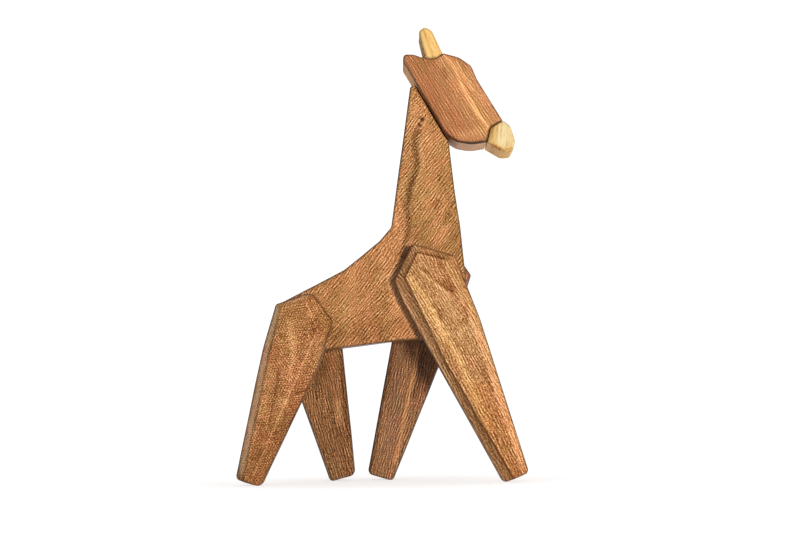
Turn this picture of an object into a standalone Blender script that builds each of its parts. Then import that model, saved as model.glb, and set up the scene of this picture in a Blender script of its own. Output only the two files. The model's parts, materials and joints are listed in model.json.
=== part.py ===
"""Articulated wooden giraffe.

Flat, hand-planed walnut pieces with a pale ash muzzle and horns. The legs swivel
on disc magnets at the hips, and the head swivels on a pair of disc magnets in the
slanted top of the neck.

Units in this file are millimetres on the drawing and metres in the scene. The
drawing plane is the animal's side view: x runs forward, z runs up from the floor,
and y = 0 is the middle plane. The animal faces +X, so its right side is at -Y.
"""

import math
from contextlib import contextmanager

import bmesh
import bpy
from mathutils import Matrix, Vector

MM = 0.001

# ---------------------------------------------------------------- driving dimensions (mm)
DATUM_X = 10.0            # drawing x of 0 lies this far ahead of the middle of the overall length

BODY_THICKNESS = 18.0
LEG_THICKNESS = 11.5
HEAD_THICKNESS = 25.0
MUZZLE_THICKNESS = HEAD_THICKNESS
OSSICONE_THICKNESS = 8.5
OSSICONE_SPACING = 13.0   # middle to middle
GAP = 0.3                 # between pieces that rest on each other, and round pins in their holes

# rounding of the long edges
BODY_EASE = 1.6
HEAD_EASE = 1.7
LEG_EASE = 1.1
SMALL_EASE = 0.7
EASE_ANGLE = 28.0         # edges sharper than this many degrees are rounded
OSSICONE_EASE_ANGLE = 40.0
SHARP_ANGLE = 25.0        # edges sharper than this many degrees are shaded sharp
ARC_STEP = 13.0           # largest turn, in degrees, of one piece of an outline's arc

FRONT_HIP = (21.3, 93.8)
REAR_HIP = (-52.2, 80.5)

# slant of the neck's cut top: its middle, and the angle of its normal above horizontal
NECK_CUT_MIDDLE = (17.6, 182.3)
NECK_CUT_ANGLE = 29.25
NECK_CUT_UP = 16.7        # from the middle to the back corner of the neck
NECK_CUT_DOWN = 16.4      # from the middle to the front corner of the neck
HEAD_SOLE_UP = 26.6       # from the middle to the ear
HEAD_SOLE_DOWN = 13.0     # from the middle to the jaw

MAGNET_DIAMETER = 8.0
MAGNET_HEIGHT = 3.0
MAGNET_RECESS = 0.2       # below the face it works through
POCKET_DEPTH = MAGNET_RECESS + MAGNET_HEIGHT + GAP
MUZZLE_DOWEL = (5.0, 12.0)        # diameter, length
OSSICONE_DOWEL = (4.0, 10.0)
OSSICONE_DOWEL_RISE = 0.35        # the dowel's middle, above the middle corner of the horn's foot
PIN_CHAMFER = 0.4
PIN_CHAMFER_ANGLE = 60.0
CUTTER_OVERSHOOT = 2.0            # how far a cutter stands out of the hole's mouth

# sides of the round parts
MAGNET_SIDES = 48
POCKET_SIDES = 40
MUZZLE_DOWEL_SIDES = 32
OSSICONE_DOWEL_SIDES = 28

# ---------------------------------------------------------------- outlines
# corners: (x, z, corner radius), with x and z on the drawing
BODY_TOP_CORNER = (6.8, 197.0, 1.6)
BODY_BACK = ((-3.9, 125.8, 4.0), (-9.6, 119.1, 14.0), (-27.6, 104.7, 14.0))
BODY_RUMP = ((-60.2, 88.3, 3.0), (-60.8, 76.0, 15.0), (-55.3, 63.2, 4.0))
BODY_BELLY = ((-14.0, 67.9, 90.0), (0.6, 69.6, 50.0), (10.0, 69.9, 50.0))
BODY_CHEST = (
    (31.0, 70.8, 6.0), (34.0, 88.0, 25.0), (32.4, 104.9, 60.0),
    (30.6, 124.8, 90.0), (28.2, 143.0, 90.0),
)
NECK_CORNER_RADII = (0.6, 0.8)    # back and front corner of the neck's cut

HEAD_JAW = ((30.0, 167.5, 7.0), (36.9, 166.2, 16.0), (44.3, 167.3, 0.5))
HEAD_SEAM = ((46.1, 174.5, 0.8), (52.6, 178.0, 0.5))
HEAD_BROW = ((40.0, 199.2, 12.0), (37.3, 206.0, 4.5), (31.2, 210.4, 7.0), (23.5, 212.6, 0.9))
HEAD_SADDLE = ((19.4, 209.7, 4.5),)
HEAD_EAR = ((13.2, 210.45, 5.0), (8.6, 212.15, 5.0), (3.7, 212.3, 1.8), (3.15, 208.6, 3.0))
HEAD_SOLE_RADII = (1.4, 2.6)      # ear and jaw end of the head's sole

SEAM_SHIFT = (0.26, -0.20)        # puts GAP between both faces of the seam
MUZZLE_NOSE = ((56.0, 175.5, 1.4), (58.6, 167.8, 3.0), (57.2, 162.35, 2.2), (51.7, 162.5, 1.8))

OSSICONE_TIP = ((11.3, 224.4, 2.3), (14.6, 226.7, 2.6), (18.0, 224.5, 2.3))
OSSICONE_FOOT = ((23.35, 212.6, 0.4), (19.4, 210.05, 4.5), (14.3, 210.55, 0.4))

# legs, with the hip at (0, 0) and the leg hanging straight down
FRONT_LEG = (
    (-20.5, 13.6, 1.8), (-4.9, 26.9, 2.0), (11.9, 12.9, 1.8), (10.6, -20.0, 60.0),
    (2.3, -97.8, 2.2), (-11.1, -97.8, 2.6), (-20.9, 2.5, 20.0),
)
REAR_LEG = (
    (-10.3, 4.2, 1.8), (4.9, 15.0, 3.6), (18.7, 4.5, 2.2), (18.6, -18.0, 40.0),
    (8.6, -82.3, 3.0), (-4.6, -82.3, 2.2), (-10.3, -18.0, 60.0),
)
# planed facets of a leg's outer face: the ridge's two ends, and the facet's slope in degrees
FRONT_FACETS = (
    ((-14.4, 12.4), (-12.9, -33.0), 41.0),
    ((-12.9, -33.0), (-5.2, -97.8), 41.0),
    ((-4.6, 20.6), (-14.4, 12.4), 40.0),
    ((5.9, 12.6), (-4.6, 20.6), 38.0),
    ((6.3, -22.0), (5.9, 12.6), 25.0),
    ((-0.5, -97.8), (6.3, -22.0), 27.0),
)
REAR_FACETS = (
    ((-6.7, 3.4), (-5.6, -18.0), 41.0),
    ((-5.6, -18.0), (0.2, -82.3), 41.0),
    ((3.8, 9.7), (-6.7, 3.4), 40.0),
    ((13.3, -2.1), (3.8, 9.7), 22.0),
    ((3.2, -82.3), (13.3, -2.1), 21.0),
)
# even facets round a rim: width, and slope in degrees
INNER_FACET = (2.2, 38.0)
MUZZLE_FACET = (2.0, 42.0)

# name, outline, outer facets, hip, side (-1 right, +1 left), and the foot's swing in degrees
# forward of straight down, before it meets the floor
LEGS = (
    ("front_right", FRONT_LEG, FRONT_FACETS, FRONT_HIP, -1, 22.0),
    ("front_left", FRONT_LEG, FRONT_FACETS, FRONT_HIP, 1, -16.8),
    ("rear_right", REAR_LEG, REAR_FACETS, REAR_HIP, -1, -17.0),
    ("rear_left", REAR_LEG, REAR_FACETS, REAR_HIP, 1, 13.8),
)
SWING_SEARCH = 3.0        # degrees either side of the drawn swing
SWING_HALVINGS = 50

WALNUT_COLOURS = {
    "body": (0.47, 0.235, 0.095),
    "head": (0.50, 0.24, 0.105),
    "front_right": (0.53, 0.27, 0.12),
    "rear_right": (0.47, 0.22, 0.09),
    "front_left": (0.36, 0.17, 0.075),
    "rear_left": (0.34, 0.16, 0.065),
}


# ---------------------------------------------------------------- scene and materials
def clear_scene():
    for obj in list(bpy.data.objects):
        bpy.data.objects.remove(obj, do_unlink=True)


def collection(name):
    made = bpy.data.collections.new(name)
    bpy.context.scene.collection.children.link(made)
    return made


def material(name, colour, roughness, metallic=0.0):
    made = bpy.data.materials.new(name)
    made.use_nodes = True
    shader = made.node_tree.nodes["Principled BSDF"]
    shader.inputs["Base Color"].default_value = (*colour, 1.0)
    shader.inputs["Roughness"].default_value = roughness
    shader.inputs["Metallic"].default_value = metallic
    made.diffuse_color = (*colour, 1.0)
    return made


clear_scene()
PIECES = collection("articulated_giraffe")
CUTTERS = collection("giraffe_cutters")

WALNUT = {
    piece: material("walnut_" + piece, colour=colour, roughness=0.5)
    for piece, colour in WALNUT_COLOURS.items()
}
ASH = material("ash_pale", colour=(0.86, 0.66, 0.36), roughness=0.45)
ASH_HORN = material("ash_horn", colour=(0.84, 0.55, 0.22), roughness=0.45)
BEECH = material("beech_dowel", colour=(0.72, 0.50, 0.29), roughness=0.6)
NICKEL = material("magnet_nickel", colour=(0.62, 0.62, 0.60), roughness=0.28, metallic=1.0)


# ---------------------------------------------------------------- drawing and placing
SIDE_VIEW = Matrix.Rotation(math.pi / 2, 4, "X")     # a drawing in x, y becomes a side view in x, z
UPRIGHT = Matrix.Translation((DATUM_X * MM, 0, 0)) @ SIDE_VIEW


def rounded(corners):
    """The closed outline of these (x, z, radius) corners, with an arc at each."""
    points = []
    for i, (x, z, radius) in enumerate(corners):
        corner = Vector((x, z))
        before = (Vector(corners[i - 1][:2]) - corner).normalized()
        after = (Vector(corners[(i + 1) % len(corners)][:2]) - corner).normalized()
        turn = math.pi - before.angle(after)
        if radius <= 0 or turn < 1e-3:      # no arc to draw
            points.append(corner)
            continue
        reach = radius * math.tan(turn / 2)
        centre = corner + (before + after).normalized() * (radius / math.cos(turn / 2))
        first_arm = corner + before * reach - centre
        last_arm = corner + after * reach - centre
        steps = max(2, math.ceil(turn / math.radians(ARC_STEP)))
        for k in range(steps + 1):
            share = k / steps
            arm = first_arm * math.sin((1 - share) * turn) + last_arm * math.sin(share * turn)
            points.append(centre + arm / math.sin(turn))
    return points


def on_cut(distance, above=0.0):
    """A point this far up the neck's cut from its middle, and this far off its plane."""
    angle = math.radians(NECK_CUT_ANGLE)
    normal = Vector((math.cos(angle), math.sin(angle)))
    along = Vector((-normal.y, normal.x))
    return Vector(NECK_CUT_MIDDLE) + along * distance + normal * above


def lifted(drawn, y=0.0):
    """A drawing point or direction as x, y, z."""
    return Vector((drawn[0], y, drawn[1]))


def placed(point, direction):
    """The matrix that puts a disc's middle at this x, y, z in mm, its axis along direction."""
    turn = direction.to_track_quat("Z", "Y").to_matrix().to_4x4()
    return Matrix.Translation((point + Vector((DATUM_X, 0, 0))) * MM) @ turn


def standing_angle(outline, hip_height, guess):
    """The swing in degrees, nearest the guess, at which the foot just reaches the floor."""
    def lowest(degrees):
        sine, cosine = math.sin(math.radians(degrees)), math.cos(math.radians(degrees))
        return hip_height + min(x * sine + z * cosine for x, z in outline)

    low, high = guess - SWING_SEARCH, guess + SWING_SEARCH
    rising = lowest(high) > lowest(low)
    for _ in range(SWING_HALVINGS):
        middle = (low + high) / 2
        if (lowest(middle) > 0) == rising:
            high = middle
        else:
            low = middle
    return (low + high) / 2


# ---------------------------------------------------------------- meshes
@contextmanager
def editing(mesh):
    """A bmesh of this mesh, written back at the end."""
    bm = bmesh.new()
    bm.from_mesh(mesh)
    yield bm
    bm.to_mesh(mesh)
    bm.free()


def plank_mesh(name, outline, thickness):
    """A board of this outline, centred on its own middle plane."""
    curve = bpy.data.curves.new(name, "CURVE")
    curve.dimensions = "2D"
    curve.fill_mode = "BOTH"
    curve.extrude = thickness / 2 * MM
    spline = curve.splines.new("POLY")
    spline.points.add(len(outline) - 1)
    for point, (x, z) in zip(spline.points, outline):
        point.co = (x * MM, z * MM, 0.0, 1.0)
    spline.use_cyclic_u = True
    guide = bpy.data.objects.new(name + "_outline", curve)
    bpy.context.scene.collection.objects.link(guide)
    bpy.context.view_layer.update()
    graph = bpy.context.evaluated_depsgraph_get()
    mesh = bpy.data.meshes.new_from_object(guide.evaluated_get(graph))
    mesh.name = name
    bpy.data.objects.remove(guide, do_unlink=True)
    with editing(mesh) as bm:
        # weld the faces to the walls, then merge the fill's triangles into whole faces
        bmesh.ops.remove_doubles(bm, verts=bm.verts, dist=1e-5)
        bmesh.ops.dissolve_limit(
            bm, angle_limit=math.radians(0.2), verts=bm.verts, edges=bm.edges
        )
        bmesh.ops.recalc_face_normals(bm, faces=bm.faces)
    return mesh


def plane_off(mesh, start, end, height, slope, outward):
    """Planes a facet off a convex board, from the ridge start-end at this height on one face.

    The facet lies to the right of the ridge as seen from the board's own +z, and
    falls away by slope degrees. outward is +1 for the upper face, -1 for the lower.
    """
    ridge_start = Vector((*start, 0.0)) * MM
    run = (Vector((*end, 0.0)) * MM - ridge_start).normalized()
    side = Vector((run.y, -run.x, 0.0))
    angle = math.radians(slope)
    normal = side * math.sin(angle) + Vector((0, 0, outward)) * math.cos(angle)
    point = ridge_start + Vector((0, 0, outward * height * MM))
    with editing(mesh) as bm:
        bmesh.ops.bisect_plane(
            bm, geom=[*bm.verts, *bm.edges, *bm.faces], dist=1e-7,
            plane_co=point, plane_no=normal, clear_outer=True,
        )
        rim = [edge for edge in bm.edges if edge.is_boundary]
        if rim:
            bmesh.ops.holes_fill(bm, edges=rim)
        bmesh.ops.recalc_face_normals(bm, faces=bm.faces)


def plane_rim(mesh, corners, height, facet, outward, skip):
    """Planes an even facet along each edge of a convex outline, corners counter-clockwise.

    The edge that starts at corner number skip is left square.
    """
    width, slope = facet
    for i, corner in enumerate(corners):
        if i == skip:
            continue
        start = Vector(corner[:2])
        end = Vector(corners[(i + 1) % len(corners)][:2])
        run = (end - start).normalized()
        inset = Vector((-run.y, run.x)) * width
        plane_off(mesh, start + inset, end + inset, height, slope, outward)


def disc_mesh(name, radius, height, sides):
    """A disc about its own z axis."""
    mesh = bpy.data.meshes.new(name)
    with editing(mesh) as bm:
        bmesh.ops.create_cone(
            bm, cap_ends=True, segments=sides,
            radius1=radius * MM, radius2=radius * MM, depth=height * MM,
        )
    return mesh


# ---------------------------------------------------------------- solids
def solid(name, mesh, finish, matrix):
    mesh.materials.append(finish)
    mesh.shade_smooth()
    mesh.set_sharp_from_angle(angle=math.radians(SHARP_ANGLE))
    made = bpy.data.objects.new(name, mesh)
    made.matrix_world = matrix
    PIECES.objects.link(made)
    return made


def bevel(obj, name, width, segments, angle):
    modifier = obj.modifiers.new(name, "BEVEL")
    modifier.width = width * MM
    modifier.segments = segments
    modifier.limit_method = "ANGLE"
    modifier.angle_limit = math.radians(angle)
    return modifier


def board(name, mesh, finish, matrix, easing, angle=EASE_ANGLE):
    """A board with sanded edges."""
    made = solid(name, mesh, finish, matrix)
    modifier = bevel(made, "eased_edges", easing, segments=2, angle=angle)
    modifier.use_clamp_overlap = False
    return made


def pin(name, matrix, diameter, length, finish, sides):
    """A round pin or disc, middle at matrix, with chamfered ends."""
    made = solid(name, disc_mesh(name, diameter / 2, length, sides), finish, matrix)
    bevel(made, "chamfer", PIN_CHAMFER, segments=1, angle=PIN_CHAMFER_ANGLE)
    return made


def drill(target, name, matrix, radius, depth, sides):
    """A blind hole: matrix is the mouth's middle, with z pointing out of the mouth."""
    mesh = disc_mesh(name, radius, depth + CUTTER_OVERSHOOT, sides)
    cutter = bpy.data.objects.new(name, mesh)
    cutter.matrix_world = matrix @ Matrix.Translation((0, 0, (CUTTER_OVERSHOOT - depth) / 2 * MM))
    cutter.hide_render = True
    cutter.display_type = "WIRE"
    CUTTERS.objects.link(cutter)
    modifier = target.modifiers.new(name, "BOOLEAN")
    modifier.operation = "DIFFERENCE"
    modifier.solver = "EXACT"
    modifier.object = cutter


def seat_magnet(target, pocket_name, magnet_name, mouth, opening, axis):
    """A pocket that opens at mouth along opening, with a magnet in it that points along axis."""
    radius = MAGNET_DIAMETER / 2 + GAP
    drill(target, pocket_name, placed(mouth, opening), radius, POCKET_DEPTH, POCKET_SIDES)
    middle = mouth - opening * (MAGNET_RECESS + MAGNET_HEIGHT / 2)
    return pin(
        magnet_name, placed(middle, axis), MAGNET_DIAMETER, MAGNET_HEIGHT, NICKEL, MAGNET_SIDES
    )


def fit_dowel(name, middle, way, size, sides, holes):
    """A dowel along way, half in each of two pieces.

    holes gives (piece, hole name), first for the piece that the hole opens out of along way.
    """
    diameter, length = size
    for (target, hole_name), opening in zip(holes, (way, -way)):
        drill(
            target, hole_name, placed(middle, opening),
            diameter / 2 + GAP, length / 2 + GAP, sides,
        )
    pin(name, placed(middle, way), diameter, length, BEECH, sides)


# ---------------------------------------------------------------- the giraffe
def build_body():
    """Body and neck, one board."""
    back_radius, front_radius = NECK_CORNER_RADII
    outline = rounded([
        (*on_cut(NECK_CUT_UP), back_radius), BODY_TOP_CORNER,
        *BODY_BACK, *BODY_RUMP, *BODY_BELLY, *BODY_CHEST,
        (*on_cut(-NECK_CUT_DOWN), front_radius),
    ])
    mesh = plank_mesh("body", outline, BODY_THICKNESS)
    return board("body", mesh, WALNUT["body"], UPRIGHT, BODY_EASE)


def build_head():
    ear_radius, jaw_radius = HEAD_SOLE_RADII
    outline = rounded([
        (*on_cut(-HEAD_SOLE_DOWN, GAP), jaw_radius),
        *HEAD_JAW, *HEAD_SEAM, *HEAD_BROW, *HEAD_SADDLE, *HEAD_EAR,
        (*on_cut(HEAD_SOLE_UP, GAP), ear_radius),
    ])
    mesh = plank_mesh("head", outline, HEAD_THICKNESS)
    return board("head", mesh, WALNUT["head"], UPRIGHT, HEAD_EASE)


def build_muzzle():
    """A planed wedge seated in the notch of the head."""
    shift_x, shift_z = SEAM_SHIFT
    seam = [(x + shift_x, z + shift_z, radius) for x, z, radius in (HEAD_JAW[-1], *HEAD_SEAM)]
    corners = [*seam, *MUZZLE_NOSE]
    mesh = plank_mesh("muzzle", rounded(corners), MUZZLE_THICKNESS)
    ring = corners[::-1]
    top = ring.index(MUZZLE_NOSE[0])
    for outward in (1, -1):
        plane_rim(mesh, ring, MUZZLE_THICKNESS / 2, MUZZLE_FACET, outward, skip=top)
    return board("muzzle", mesh, ASH, UPRIGHT, SMALL_EASE)


def build_horn(name, y):
    """A horn in the saddle behind the brow."""
    mesh = plank_mesh(name, rounded([*OSSICONE_TIP, *OSSICONE_FOOT]), OSSICONE_THICKNESS)
    place = Matrix.Translation((0, y * MM, 0)) @ UPRIGHT
    return board(name, mesh, ASH_HORN, place, SMALL_EASE, angle=OSSICONE_EASE_ANGLE)


def build_leg(which, corners, facets, hip, side, swing):
    """A leg with its origin on the hip axis, and a magnet in its inner face."""
    name = which + "_leg"
    outline = rounded(corners)
    angle = standing_angle(outline, hip[1], swing)
    mesh = plank_mesh(name, outline, LEG_THICKNESS)
    half = LEG_THICKNESS / 2
    # the board's own +z points to -Y once it stands, so the outer face is +z on the right side
    outward = -side
    for start, end, slope in facets:
        plane_off(mesh, start, end, half, slope, outward)
    ring = corners[::-1]
    heights = [z for _, z, _ in ring]
    sole = heights.index(min(heights))
    plane_rim(mesh, ring, half, INNER_FACET, -outward, skip=sole)

    inner = side * (BODY_THICKNESS / 2 + GAP)
    axle = lifted(hip, inner + side * half) + Vector((DATUM_X, 0, 0))
    swivel = Matrix.Rotation(-math.radians(angle), 4, "Y")
    place = Matrix.Translation(axle * MM) @ swivel @ SIDE_VIEW
    made = board(name, mesh, WALNUT[which], place, LEG_EASE)

    outside = Vector((0, side, 0))
    disc = seat_magnet(
        made, name + "_pocket", name + "_magnet", lifted(hip, inner), -outside, outside
    )
    # the magnet follows its leg, and stays where it is when parented
    keep = disc.matrix_world.copy()
    bpy.context.view_layer.update()
    disc.parent = made
    disc.matrix_parent_inverse = made.matrix_world.inverted()
    disc.matrix_world = keep


def add_hip_magnet(body, which, hip, side):
    """The magnet in the body that faces a leg's own."""
    outside = Vector((0, side, 0))
    mouth = lifted(hip, side * BODY_THICKNESS / 2)
    seat_magnet(body, "hip_pocket_" + which, which + "_hip_magnet", mouth, outside, outside)


def add_neck_joint(body, head):
    """A magnet in each face of the slanted cut."""
    angle = math.radians(NECK_CUT_ANGLE)
    normal = Vector((math.cos(angle), 0.0, math.sin(angle)))
    seat_magnet(body, "neck_pocket", "neck_magnet", lifted(on_cut(0.0)), normal, normal)
    seat_magnet(head, "head_pocket", "head_magnet", lifted(on_cut(0.0, GAP)), -normal, normal)


def add_muzzle_dowel(head, muzzle):
    """A dowel square to the lower face of the seam."""
    low, bend = Vector(HEAD_JAW[-1][:2]), Vector(HEAD_SEAM[0][:2])
    run = (bend - low).normalized()
    out = Vector((run.y, -run.x))
    middle = (low + bend) / 2 + out * (GAP / 2)
    holes = ((head, "muzzle_dowel_hole_head"), (muzzle, "muzzle_dowel_hole_muzzle"))
    fit_dowel(
        "muzzle_dowel", lifted(middle), lifted(out), MUZZLE_DOWEL, MUZZLE_DOWEL_SIDES, holes
    )


def add_horn_dowel(head, horn, which, y):
    """A dowel along the horn."""
    front, saddle, back = OSSICONE_FOOT
    foot = Vector(((front[0] + back[0]) / 2, saddle[1] + OSSICONE_DOWEL_RISE))
    rise = (Vector(OSSICONE_TIP[1][:2]) - foot).normalized()
    holes = ((head, "horn_hole_head_" + which), (horn, "horn_hole_" + which))
    fit_dowel(
        "ossicone_dowel_" + which, lifted(foot, y), lifted(rise),
        OSSICONE_DOWEL, OSSICONE_DOWEL_SIDES, holes,
    )


def build():
    body = build_body()
    head = build_head()
    muzzle = build_muzzle()
    for which, corners, facets, hip, side, swing in LEGS:
        build_leg(which, corners, facets, hip, side, swing)
        add_hip_magnet(body, which, hip, side)
    add_neck_joint(body, head)
    add_muzzle_dowel(head, muzzle)
    for which, side in (("right", -1), ("left", 1)):
        y = side * OSSICONE_SPACING / 2
        horn = build_horn("ossicone_" + which, y)
        add_horn_dowel(head, horn, which, y)


build()
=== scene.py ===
# Looks for the posable wooden giraffe: fine meshes for the nine wooden pieces, simple
# finishes for the hidden magnets and dowels, procedural timber, and a plain white studio.
#
# The drawing is in millimetres: x runs forward, z up, and y = 0 is the middle plane. The
# animal faces +X, so its right side, which the camera sees, is at -Y. The scene is in
# metres, with the drawing moved DATUM_X forward.

import json
import math
import bmesh
import bpy
import numpy as np
from mathutils import Matrix, Vector, geometry

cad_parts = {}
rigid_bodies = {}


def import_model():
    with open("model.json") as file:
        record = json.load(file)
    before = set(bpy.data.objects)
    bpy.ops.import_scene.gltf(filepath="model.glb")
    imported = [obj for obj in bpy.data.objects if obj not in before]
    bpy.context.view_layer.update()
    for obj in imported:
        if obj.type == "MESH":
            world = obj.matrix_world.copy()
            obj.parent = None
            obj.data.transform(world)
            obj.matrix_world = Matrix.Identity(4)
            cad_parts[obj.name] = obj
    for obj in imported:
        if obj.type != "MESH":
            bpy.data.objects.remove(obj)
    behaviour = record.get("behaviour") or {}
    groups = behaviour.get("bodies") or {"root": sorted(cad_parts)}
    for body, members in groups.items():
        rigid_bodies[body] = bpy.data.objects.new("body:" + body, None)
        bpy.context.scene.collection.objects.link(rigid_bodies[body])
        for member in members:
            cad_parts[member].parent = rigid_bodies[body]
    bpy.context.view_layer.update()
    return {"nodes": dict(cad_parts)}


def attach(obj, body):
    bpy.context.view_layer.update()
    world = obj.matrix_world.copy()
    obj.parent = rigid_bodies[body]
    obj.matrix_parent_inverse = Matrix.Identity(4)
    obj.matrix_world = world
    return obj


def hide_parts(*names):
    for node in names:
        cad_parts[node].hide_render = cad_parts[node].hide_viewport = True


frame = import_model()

MM = 0.001

# ---------------------------------------------------------------- the drawing (mm, degrees)
DATUM_X = 10.0
BODY_THICKNESS, LEG_THICKNESS, HEAD_THICKNESS = 18.0, 11.5, 25.0
MUZZLE_THICKNESS, HORN_THICKNESS, HORN_SPACING = 25.0, 8.5, 13.0
GAP = 0.3

# radii of the rounded long edges
BODY_EASE, HEAD_EASE, LEG_EASE, HORN_EASE, SMALL_EASE = 1.6, 1.7, 1.1, 2.0, 0.7
MUZZLE_EASE = SMALL_EASE * 0.8

# blind bores as (radius, depth)
MAGNET_DIAMETER, MAGNET_HEIGHT, MAGNET_RECESS = 8.0, 3.0, 0.2
MAGNET_BORE = (MAGNET_DIAMETER / 2 + GAP, MAGNET_RECESS + MAGNET_HEIGHT + GAP)
MUZZLE_DOWEL_BORE = (2.8, 6.3)
HORN_DOWEL_BORE = (2.3, 5.3)
BORE_OVERRUN = 2.0      # how far a cutter stands out of its mouth
BORE_SEGMENTS = 48

FRONT_HIP, REAR_HIP = (21.3, 93.8), (-52.2, 80.5)
NECK_CUT_MIDDLE, NECK_CUT_ANGLE = (17.6, 182.3), 29.25
# how far the neck and the head's sole reach up and down the slanted cut
NECK_CUT_UP, NECK_CUT_DOWN = 16.7, 16.4
HEAD_SOLE_UP, HEAD_SOLE_DOWN = 26.6, 13.0

# Outline corners are (x, z, rounding radius).
BODY_TOP_CORNER = (6.8, 197.0, 1.6)
BODY_BACK = ((-3.9, 125.8, 4.0), (-9.6, 119.1, 14.0), (-27.6, 104.7, 14.0))
BODY_RUMP = ((-60.2, 88.3, 3.0), (-60.8, 76.0, 15.0), (-55.3, 63.2, 4.0))
BODY_BELLY = ((-14.0, 67.9, 90.0), (0.6, 69.6, 50.0), (10.0, 69.9, 50.0))
BODY_CHEST = (
    (31.0, 70.8, 6.0), (34.0, 88.0, 25.0), (32.4, 104.9, 60.0), (30.6, 124.8, 90.0),
    (28.2, 143.0, 90.0),
)

HEAD_JAW = ((30.0, 167.5, 7.0), (36.9, 166.2, 16.0), (44.3, 167.3, 0.5))
HEAD_SEAM = ((46.1, 174.5, 0.8), (52.6, 178.0, 0.5))
HEAD_BROW = ((40.0, 199.2, 12.0), (37.3, 206.0, 4.5), (31.2, 210.4, 7.0), (23.5, 212.6, 0.9))
HEAD_SADDLE = (19.4, 209.7, 4.5)
HEAD_EAR = ((13.2, 210.45, 5.0), (8.6, 212.15, 5.0), (3.7, 212.3, 1.8), (3.15, 208.6, 3.0))

SEAM_SHIFT = (0.26, -0.20)      # from the head's side of the seam to the muzzle's
MUZZLE_NOSE = ((56.0, 175.5, 1.4), (58.6, 167.8, 3.0), (57.2, 162.35, 2.2), (51.7, 162.5, 1.8))

HORN_TIP = ((11.3, 224.4, 2.3), (14.6, 226.7, 2.6), (18.0, 224.5, 2.3))
HORN_FOOT = ((23.35, 212.6, 0.4), (19.4, 210.05, 4.5), (14.3, 210.55, 0.4))
HORN_BORE_RISE = 0.35           # of the dowel's mouth above the foot's middle corner

# Legs are drawn about their hips, hanging before they swing; corners run clockwise.
FRONT_LEG = (
    (-20.5, 13.6, 1.8), (-4.9, 26.9, 2.0), (11.9, 12.9, 1.8), (10.6, -20.0, 60.0),
    (2.3, -97.8, 2.2), (-11.1, -97.8, 2.6), (-20.9, 2.5, 20.0),
)
REAR_LEG = (
    (-10.3, 4.2, 1.8), (4.9, 15.0, 3.6), (18.7, 4.5, 2.2), (18.6, -18.0, 40.0),
    (8.6, -82.3, 3.0), (-4.6, -82.3, 2.2), (-10.3, -18.0, 60.0),
)
# the left one has a rounder top
REAR_LEFT_LEG = ((*REAR_LEG[0][:2], 2.4), (4.9, 14.4, 5.5), *REAR_LEG[2:])

# Facets are (ridge start, ridge end, slope in degrees); the face falls away to the
# right of the ridge's run, seen with x to the right and z up.
FRONT_FACETS = (
    ((-14.4, 12.4), (-12.9, -33.0), 41.0),
    ((-12.9, -33.0), (-5.2, -97.8), 41.0),
    ((-4.6, 20.6), (-14.4, 12.4), 40.0),
    ((5.9, 12.6), (-4.6, 20.6), 38.0),
    ((6.3, -22.0), (5.9, 12.6), 25.0),
    ((-0.5, -97.8), (6.3, -22.0), 27.0),
)
REAR_FACETS = (
    ((-6.7, 3.4), (-5.6, -18.0), 41.0),
    ((-5.6, -18.0), (0.2, -82.3), 41.0),
    ((3.8, 9.7), (-6.7, 3.4), 40.0),
    ((13.3, -2.1), (3.8, 9.7), 22.0),
    ((3.2, -82.3), (13.3, -2.1), 21.0),
)
INNER_FACET_WIDTH, INNER_FACET_SLOPE = 2.2, 38.0
MUZZLE_FACETS = (
    ((48.98, 175.81), (46.8, 168.6), 36.0),
    ((46.6, 167.0), (53.0, 163.6), 46.0),
    ((53.0, 163.6), (56.9, 165.6), 42.0),
    ((57.15, 166.4), (56.2, 173.9), 42.0),
    ((56.2, 173.9), (51.2, 177.6), 40.0),
)

# (name, outline, plain corners, facets, hip, rough swing, side, seed); a positive swing
# brings the foot forward, and side is the sign of y
LEGS = (
    ("front_right", FRONT_LEG, FRONT_LEG, FRONT_FACETS, FRONT_HIP, 22.0, -1, 51),
    ("front_left", FRONT_LEG, FRONT_LEG, FRONT_FACETS, FRONT_HIP, -16.8, 1, 52),
    ("rear_right", REAR_LEG, REAR_LEG, REAR_FACETS, REAR_HIP, -17.0, -1, 53),
    ("rear_left", REAR_LEFT_LEG, REAR_LEG, REAR_FACETS, REAR_HIP, 13.8, 1, 54),
)


def on_cut(distance, above=0.0):
    """A point of the neck's slanted cut, this far up the slant and this far off it."""
    slant = math.radians(NECK_CUT_ANGLE)
    return (
        NECK_CUT_MIDDLE[0] - math.sin(slant) * distance + math.cos(slant) * above,
        NECK_CUT_MIDDLE[1] + math.cos(slant) * distance + math.sin(slant) * above,
    )


# ---------------------------------------------------------------- plane geometry, vectorised
ARC_STEP = math.radians(6.0)
MESH_STEP = 0.8         # mm between mesh points
SHORTEST_SIDE = 0.12    # mm, below which outline points merge


def unit(vector):
    return vector / np.linalg.norm(vector)


def straight(start, end):
    """A line's two ends and the unit vector across it, to the right of its run."""
    start, end = np.array(start), np.array(end)
    run = unit(end - start)
    return start, end, np.array((run[1], -run[0]))


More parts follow.
